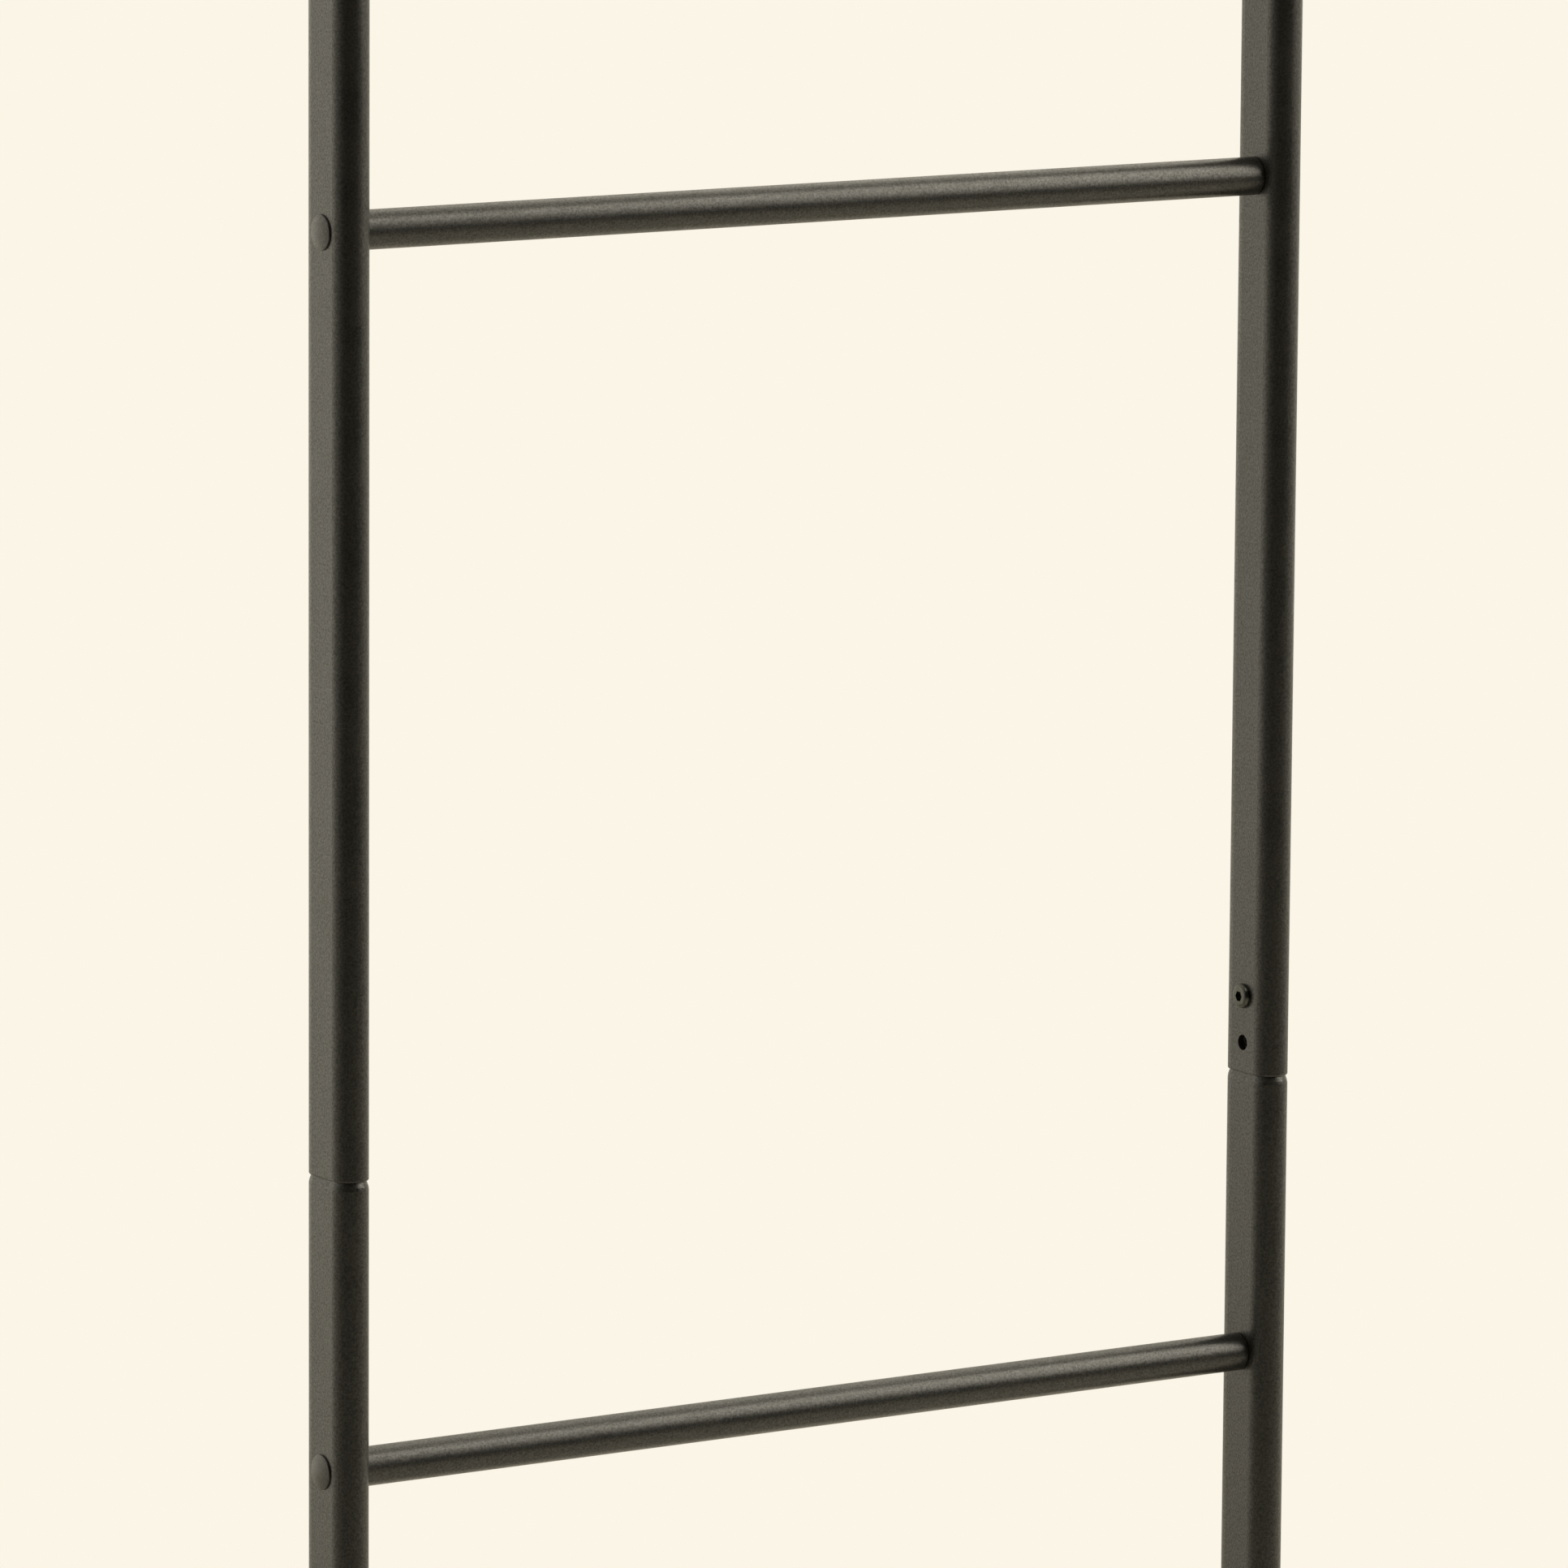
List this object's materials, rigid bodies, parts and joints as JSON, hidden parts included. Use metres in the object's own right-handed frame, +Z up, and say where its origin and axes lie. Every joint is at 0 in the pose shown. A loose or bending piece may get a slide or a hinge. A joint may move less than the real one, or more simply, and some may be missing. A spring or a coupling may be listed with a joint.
{
  "type": "towel warmer rack",
  "caption": "Free-standing ladder towel warmer: flat-oval rails in two plug-together sections, round heated rungs, bar feet on rubber pads and a side push button.",
  "frame": {"origin": "on the floor, midway between the rails and between the feet's ends", "axes": "+Z up along the rails, +X across the rack towards the rail with the control, +Y towards the back"},
  "size_m": [0.49, 0.36, 1.75],
  "materials": {
    "powder_coat": "matte charcoal powder coat",
    "cap_plastic": "satin",
    "screw_black": "black oxide, satin",
    "zinc_steel": "zinc plated",
    "pad_rubber": "matte",
    "heater_sheath": "drawn steel sheath",
    "wire_jacket": "silicone sleeve",
    "connector_plastic": "matte",
    "control_plastic": "matte",
    "bezel_plastic": "satin",
    "button_plastic": "satin",
    "lamp_lens": "diffuse amber",
    "gland_rubber": "matte"
  },
  "bodies": {
    "rack": {"control_bezel": "bezel_plastic", "control_housing": "control_plastic", "cord_gland": "gland_rubber", "cover_cap_left_1": "cap_plastic", "cover_cap_left_2": "cap_plastic", "cover_cap_left_3": "cap_plastic", "cover_cap_left_4": "cap_plastic", "cover_cap_right_1": "cap_plastic", "cover_cap_right_2": "cap_plastic", "cover_cap_right_3": "cap_plastic", "cover_cap_right_4": "cap_plastic", "foot_left": "powder_coat", "foot_pad_left_back": "pad_rubber", "foot_pad_left_front": "pad_rubber", "foot_pad_right_back": "pad_rubber", "foot_pad_right_front": "pad_rubber", "foot_plate_screws_left": "zinc_steel", "foot_plate_screws_right": "zinc_steel", "foot_right": "powder_coat", "foot_screw_left": "screw_black", "foot_screw_right": "screw_black", "heater_1": "heater_sheath", "heater_2": "heater_sheath", "heater_3": "heater_sheath", "heater_4": "heater_sheath", "hollow_screw_1": "zinc_steel", "hollow_screw_2": "zinc_steel", "hollow_screw_3": "zinc_steel", "hollow_screw_4": "zinc_steel", "indicator_lens": "lamp_lens", "joint_nuts_left": "zinc_steel", "joint_nuts_right": "zinc_steel", "joint_screw_left": "screw_black", "joint_screw_right": "screw_black", "loom_lower": "wire_jacket", "loom_plug": "connector_plastic", "loom_socket": "connector_plastic", "loom_upper": "wire_jacket", "lower_rail_left": "powder_coat", "lower_rail_right": "powder_coat", "rung_1": "powder_coat", "rung_2": "powder_coat", "rung_3": "powder_coat", "rung_4": "powder_coat", "rung_inserts_1": "zinc_steel", "rung_inserts_2": "zinc_steel", "rung_inserts_3": "zinc_steel", "rung_inserts_4": "zinc_steel", "rung_screw_1": "zinc_steel", "rung_screw_2": "zinc_steel", "rung_screw_3": "zinc_steel", "rung_screw_4": "zinc_steel", "spigot_left": "zinc_steel", "spigot_right": "zinc_steel", "top_cap_left": "cap_plastic", "top_cap_right": "cap_plastic", "upper_rail_left": "powder_coat", "upper_rail_right": "powder_coat"},
    "power_button": {"power_button": "button_plastic"}
  },
  "joints": [
    {"name": "power_button_press", "type": "slide", "parent": "rack", "child": "power_button", "axis": [-1, 0, 0], "range_m": [0, 0.0015], "stiffness_N_per_m": 600, "springref_m": -0.001}
  ]
}
